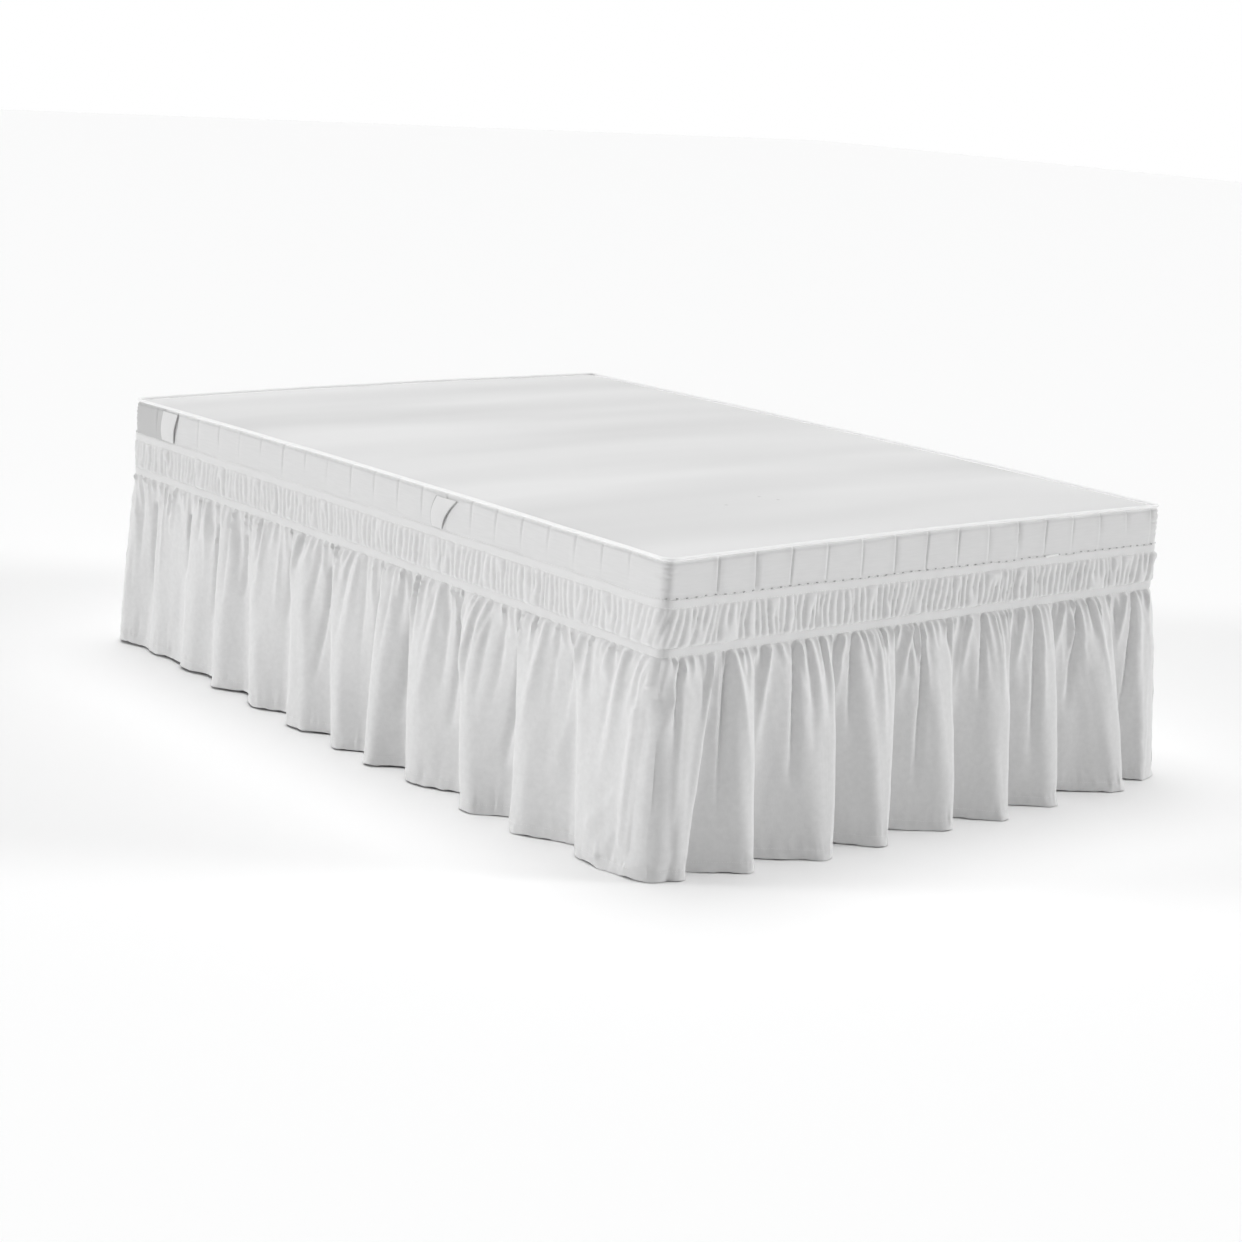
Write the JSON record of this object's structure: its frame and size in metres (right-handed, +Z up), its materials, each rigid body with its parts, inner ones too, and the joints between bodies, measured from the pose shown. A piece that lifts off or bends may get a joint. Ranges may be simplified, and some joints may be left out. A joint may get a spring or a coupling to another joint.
{
  "type": "bed skirt on mattress",
  "caption": "Wrap-around bed skirt: a shirred heading between elastic bands and a gathered drop to the floor, fitted on a plain mattress and its base.",
  "frame": {"origin": "on the floor under the middle of the bed", "axes": "+Z up; X across the bed; Y along the bed, with the foot end facing -Y"},
  "size_m": [1.514, 2.105, 0.587],
  "materials": {
    "ticking": "smooth woven mattress ticking",
    "piping_cord": "cloth-covered cord",
    "handle_webbing": "woven tape",
    "elastic": "ribbed woven elastic",
    "skirt_cloth": "brushed microfibre",
    "base_cover": "plain woven cover",
    "foot_plastic": "moulded, satin"
  },
  "bodies": {
    "root": {"mattress": "ticking", "piping": "piping_cord", "handle_left_1": "handle_webbing", "handle_left_2": "handle_webbing", "handle_right_1": "handle_webbing", "handle_right_2": "handle_webbing", "base": "base_cover", "base_foot_1": "foot_plastic", "base_foot_2": "foot_plastic", "base_foot_3": "foot_plastic", "base_foot_4": "foot_plastic", "base_foot_5": "foot_plastic", "base_foot_6": "foot_plastic", "upper_band": "elastic", "heading": "skirt_cloth", "lower_band": "elastic", "drop_foot": "skirt_cloth", "drop_right": "skirt_cloth", "drop_head": "skirt_cloth", "drop_left": "skirt_cloth"}
  },
  "joints": []
}
